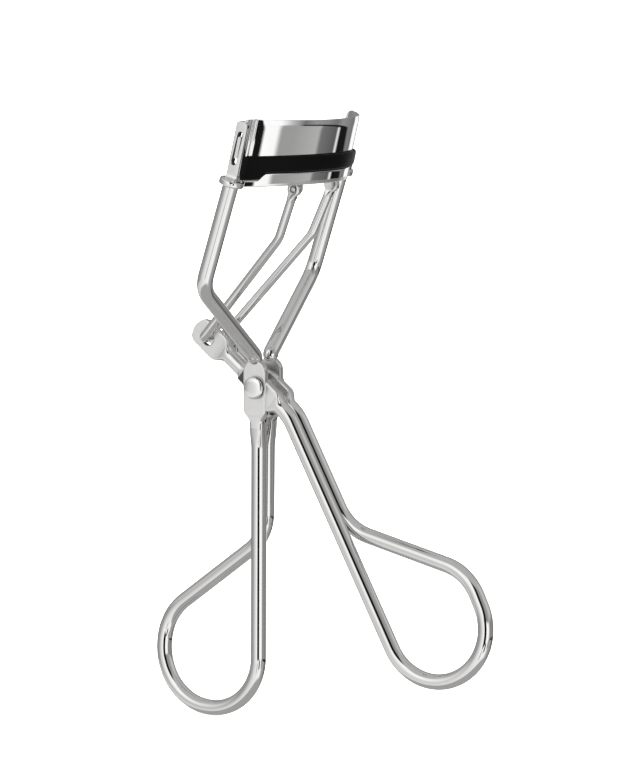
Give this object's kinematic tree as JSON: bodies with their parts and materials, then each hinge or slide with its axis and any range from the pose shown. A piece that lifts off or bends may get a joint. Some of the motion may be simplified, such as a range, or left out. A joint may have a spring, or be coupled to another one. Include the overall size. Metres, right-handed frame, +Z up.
{
  "type": "eyelash curler",
  "caption": "Hand-held wire eyelash curler: scissor handles with finger loops slide a padded curved jaw against a fixed curved plate.",
  "frame": {"origin": "middle of the box that holds the whole curler with its jaws closed", "axes": "+X along the pivot rivet, +Z up the fixed legs towards the jaws, -Y towards the convex front of the jaws"},
  "size_m": [0.041, 0.0694, 0.1088],
  "materials": {
    "plated_wire": "bright nickel or chrome plate on drawn wire",
    "plated_sheet": "mirror-bright plate on pressed sheet",
    "rivet_steel": "bright plate, lightly satin on the formed head",
    "pad_rubber": "smooth black silicone rubber with a soft gloss"
  },
  "bodies": {
    "frame": {"frame_wire": "plated_wire", "pivot_rivet": "rivet_steel", "upper_jaw_plate": "plated_sheet"},
    "handle": {"moving_handle": "plated_wire"},
    "sliding_jaw": {"lower_jaw": "plated_sheet", "lash_pad": "pad_rubber"},
    "push_rod": {"push_rod": "plated_wire"}
  },
  "joints": [
    {"name": "handle_swing", "type": "hinge", "parent": "frame", "child": "handle", "pos_m": [0, 0.01165, 0.00622], "axis": [-1, 0, 0], "range_deg": [0, 38]},
    {"name": "jaw_slide", "type": "slide", "parent": "frame", "child": "sliding_jaw", "axis": [0, 0.309, -0.9511], "range_m": [0, 0.0088]},
    {"name": "push_rod_swing", "type": "hinge", "parent": "sliding_jaw", "child": "push_rod", "pos_m": [0, 0.00145, 0.04192], "axis": [1, 0, 0], "range_deg": [0, 0.6]}
  ],
  "couplings": [
    {"joint": "jaw_slide", "follows": "handle_swing", "m_per_rad": 0.01315},
    {"joint": "push_rod_swing", "follows": "handle_swing", "ratio": 0.0132}
  ]
}
